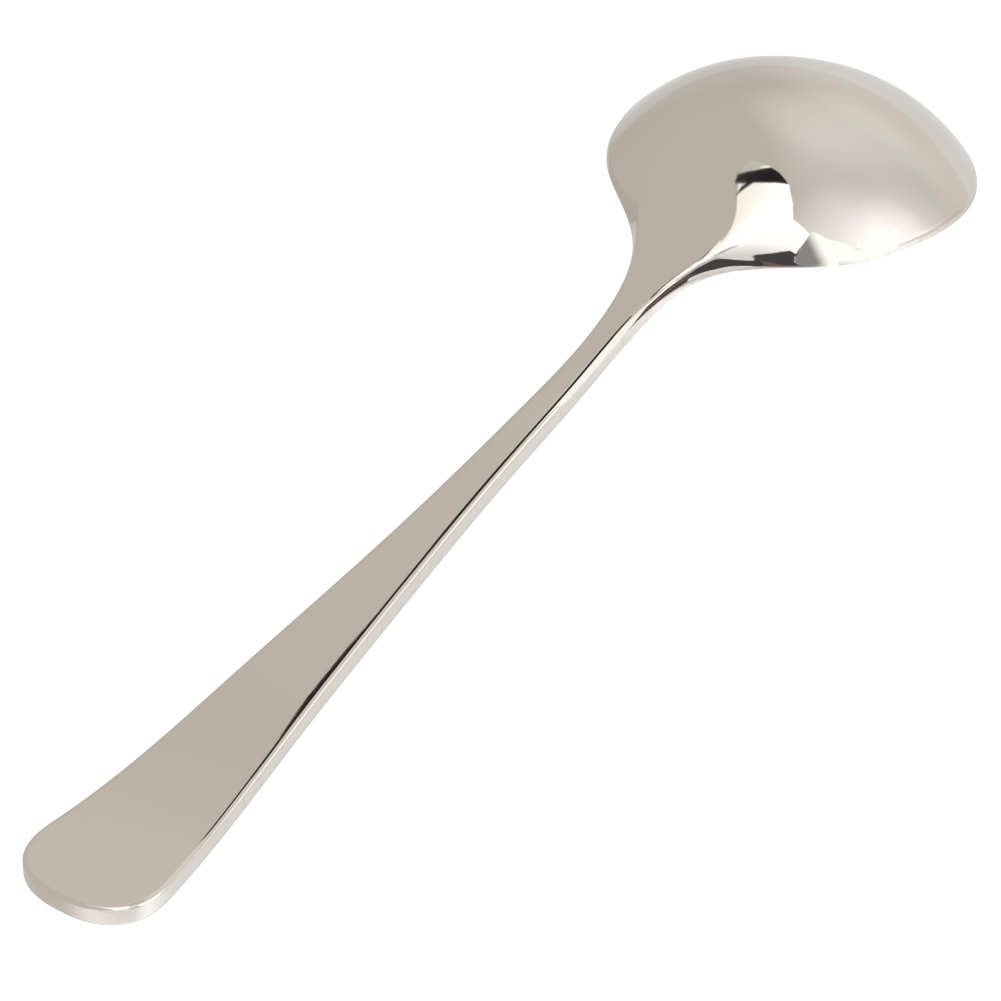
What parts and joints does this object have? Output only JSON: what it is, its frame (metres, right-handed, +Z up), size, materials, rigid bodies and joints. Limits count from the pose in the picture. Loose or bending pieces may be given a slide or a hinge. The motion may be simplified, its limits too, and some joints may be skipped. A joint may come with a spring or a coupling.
{
  "type": "soup spoon",
  "caption": "Table spoon for soup with a deep oval bowl, a narrow neck and a flat handle that widens to a rounded end, stored face down.",
  "frame": {"origin": "on the table under the middle of the overall length, on the spoon's plane of symmetry", "axes": "+X from the tail end to the tip of the bowl, +Y to the left, +Z up out of the back of the bowl, which lies face down"},
  "size_m": [0.19, 0.0476, 0.0262],
  "materials": {
    "steel": "polished stainless steel, nearly mirror-bright on the bowl and softer on the side walls"
  },
  "bodies": {
    "root": {"spoon": "steel"}
  },
  "joints": []
}
